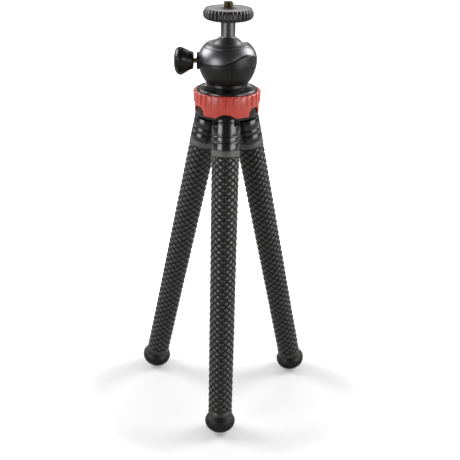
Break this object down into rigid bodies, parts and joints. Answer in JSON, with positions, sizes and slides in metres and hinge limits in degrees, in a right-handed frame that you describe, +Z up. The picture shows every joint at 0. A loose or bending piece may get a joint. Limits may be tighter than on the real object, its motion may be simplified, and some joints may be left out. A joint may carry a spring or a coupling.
{
  "type": "flexible leg tripod",
  "caption": "Small tripod with bendable rubber-covered legs hinged to a hub with a red twist ring, under a ball head with a clamp knob and a round camera platform.",
  "frame": {"origin": "on the floor under the hub axis", "axes": "+Z up along the hub axis, -Y towards the front leg, the clamp knob on -X"},
  "size_m": [0.1166, 0.1035, 0.2681],
  "materials": {
    "brass_dark": "worn, dark",
    "brass": "polished",
    "steel": "plain",
    "gunmetal": "glossy dark coat",
    "black_metal": "satin black coat",
    "ball_metal": "smooth dark coat",
    "black_gloss": "gloss",
    "black_satin": "satin",
    "red_plastic": "semi-gloss",
    "sleeve_rubber": "diamond texture",
    "foot_rubber": "satin",
    "pad_rubber": "matt",
    "nylon": "plain",
    "core_alloy": "plain"
  },
  "bodies": {
    "hub": {"hub_body": "black_satin", "hub_disc": "black_gloss", "ring_washer": "nylon", "head_bolt": "steel", "pan_nut": "steel", "pan_washer": "black_satin", "leg_1_pin": "steel", "leg_2_pin": "steel", "leg_3_pin": "steel"},
    "lock_ring": {"lock_ring": "red_plastic"},
    "head": {"housing_dome": "gunmetal", "housing_cup": "black_metal", "ball_seat": "nylon", "clamp_boss": "black_satin", "pan_base": "black_metal"},
    "ball": {"ball_stud": "ball_metal", "camera_screw": "brass_dark"},
    "platform": {"platform_wheel": "black_satin", "platform_pad": "pad_rubber"},
    "clamp_shoe": {"brake_shoe": "nylon"},
    "clamp_screw": {"clamp_spindle": "brass", "clamp_knob": "black_gloss"},
    "leg_1": {"leg_1_collar": "black_gloss", "leg_1_sleeve": "sleeve_rubber", "leg_1_core_1": "core_alloy"},
    "leg_1_seg_2": {"leg_1_core_2": "core_alloy"},
    "leg_1_seg_3": {"leg_1_core_3": "core_alloy"},
    "leg_1_seg_4": {"leg_1_core_4": "core_alloy"},
    "leg_1_seg_5": {"leg_1_core_5": "core_alloy", "leg_1_foot": "foot_rubber"},
    "leg_2": {"leg_2_collar": "black_gloss", "leg_2_sleeve": "sleeve_rubber", "leg_2_core_1": "core_alloy"},
    "leg_2_seg_2": {"leg_2_core_2": "core_alloy"},
    "leg_2_seg_3": {"leg_2_core_3": "core_alloy"},
    "leg_2_seg_4": {"leg_2_core_4": "core_alloy"},
    "leg_2_seg_5": {"leg_2_core_5": "core_alloy", "leg_2_foot": "foot_rubber"},
    "leg_3": {"leg_3_collar": "black_gloss", "leg_3_sleeve": "sleeve_rubber", "leg_3_core_1": "core_alloy"},
    "leg_3_seg_2": {"leg_3_core_2": "core_alloy"},
    "leg_3_seg_3": {"leg_3_core_3": "core_alloy"},
    "leg_3_seg_4": {"leg_3_core_4": "core_alloy"},
    "leg_3_seg_5": {"leg_3_core_5": "core_alloy", "leg_3_foot": "foot_rubber"}
  },
  "joints": [
    {"name": "head_pan", "type": "hinge", "parent": "hub", "child": "head", "pos_m": [0, 0, 0.21607], "axis": [0, 0, 1], "continuous": true},
    {"name": "ball_tilt", "type": "hinge", "parent": "head", "child": "ball", "pos_m": [0, 0, 0.23607], "axis": [-0.6428, 0.766, 0], "range_deg": [-28, 90]},
    {"name": "platform_turn", "type": "hinge", "parent": "ball", "child": "platform", "pos_m": [0, 0, 0.26407], "axis": [0, 0, 1], "continuous": true},
    {"name": "clamp_slide", "type": "slide", "parent": "head", "child": "clamp_shoe", "axis": [-1, 0, 0], "range_m": [0, 0.0008]},
    {"name": "clamp_turn", "type": "hinge", "parent": "clamp_shoe", "child": "clamp_screw", "pos_m": [-0.02, 0, 0.23157], "axis": [-1, 0, 0], "range_deg": [0, 360]},
    {"name": "lock_ring_turn", "type": "hinge", "parent": "hub", "child": "lock_ring", "pos_m": [0, 0, 0.20022], "axis": [0, 0, 1], "range_deg": [0, 60]},
    {"name": "leg_1_fold", "type": "hinge", "parent": "hub", "child": "leg_1", "pos_m": [0, -0.0155, 0.19757], "axis": [-1, 0, 0], "range_deg": [-12.9, 45]},
    {"name": "leg_1_bend_1", "type": "hinge", "parent": "leg_1", "child": "leg_1_seg_2", "pos_m": [0, -0.02127, 0.15998], "axis": [1, 0, 0], "range_deg": [-25, 25], "deforming": ["leg_1_sleeve"]},
    {"name": "leg_1_bend_2", "type": "hinge", "parent": "leg_1_seg_2", "child": "leg_1_seg_3", "pos_m": [0, -0.03001, 0.12183], "axis": [0, -0.9748, 0.2233], "range_deg": [-25, 25], "deforming": ["leg_1_sleeve"]},
    {"name": "leg_1_bend_3", "type": "hinge", "parent": "leg_1_seg_3", "child": "leg_1_seg_4", "pos_m": [0, -0.03874, 0.08367], "axis": [1, 0, 0], "range_deg": [-25, 25], "deforming": ["leg_1_sleeve"]},
    {"name": "leg_1_bend_4", "type": "hinge", "parent": "leg_1_seg_4", "child": "leg_1_seg_5", "pos_m": [0, -0.04748, 0.04552], "axis": [1, 0, 0], "range_deg": [-25, 25], "deforming": ["leg_1_sleeve"]},
    {"name": "leg_2_fold", "type": "hinge", "parent": "hub", "child": "leg_2", "pos_m": [0.01342, 0.00775, 0.19757], "axis": [0.5, -0.866, 0], "range_deg": [-12.9, 45]},
    {"name": "leg_2_bend_1", "type": "hinge", "parent": "leg_2", "child": "leg_2_seg_2", "pos_m": [0.01842, 0.01063, 0.15998], "axis": [-0.5, 0.866, 0], "range_deg": [-25, 25], "deforming": ["leg_2_sleeve"]},
    {"name": "leg_2_bend_2", "type": "hinge", "parent": "leg_2_seg_2", "child": "leg_2_seg_3", "pos_m": [0.02599, 0.015, 0.12183], "axis": [0.8442, 0.4874, 0.2233], "range_deg": [-25, 25], "deforming": ["leg_2_sleeve"]},
    {"name": "leg_2_bend_3", "type": "hinge", "parent": "leg_2_seg_3", "child": "leg_2_seg_4", "pos_m": [0.03355, 0.01937, 0.08367], "axis": [-0.5, 0.866, 0], "range_deg": [-25, 25], "deforming": ["leg_2_sleeve"]},
    {"name": "leg_2_bend_4", "type": "hinge", "parent": "leg_2_seg_4", "child": "leg_2_seg_5", "pos_m": [0.04112, 0.02374, 0.04552], "axis": [-0.5, 0.866, 0], "range_deg": [-25, 25], "deforming": ["leg_2_sleeve"]},
    {"name": "leg_3_fold", "type": "hinge", "parent": "hub", "child": "leg_3", "pos_m": [-0.01342, 0.00775, 0.19757], "axis": [0.5, 0.866, 0], "range_deg": [-12.9, 45]},
    {"name": "leg_3_bend_1", "type": "hinge", "parent": "leg_3", "child": "leg_3_seg_2", "pos_m": [-0.01842, 0.01063, 0.15998], "axis": [-0.5, -0.866, 0], "range_deg": [-25, 25], "deforming": ["leg_3_sleeve"]},
    {"name": "leg_3_bend_2", "type": "hinge", "parent": "leg_3_seg_2", "child": "leg_3_seg_3", "pos_m": [-0.02599, 0.015, 0.12183], "axis": [-0.8442, 0.4874, 0.2233], "range_deg": [-25, 25], "deforming": ["leg_3_sleeve"]},
    {"name": "leg_3_bend_3", "type": "hinge", "parent": "leg_3_seg_3", "child": "leg_3_seg_4", "pos_m": [-0.03355, 0.01937, 0.08367], "axis": [-0.5, -0.866, 0], "range_deg": [-25, 25], "deforming": ["leg_3_sleeve"]},
    {"name": "leg_3_bend_4", "type": "hinge", "parent": "leg_3_seg_4", "child": "leg_3_seg_5", "pos_m": [-0.04112, 0.02374, 0.04552], "axis": [-0.5, -0.866, 0], "range_deg": [-25, 25], "deforming": ["leg_3_sleeve"]}
  ],
  "couplings": [
    {"joint": "clamp_turn", "follows": "clamp_slide", "rad_per_m": 7854}
  ]
}
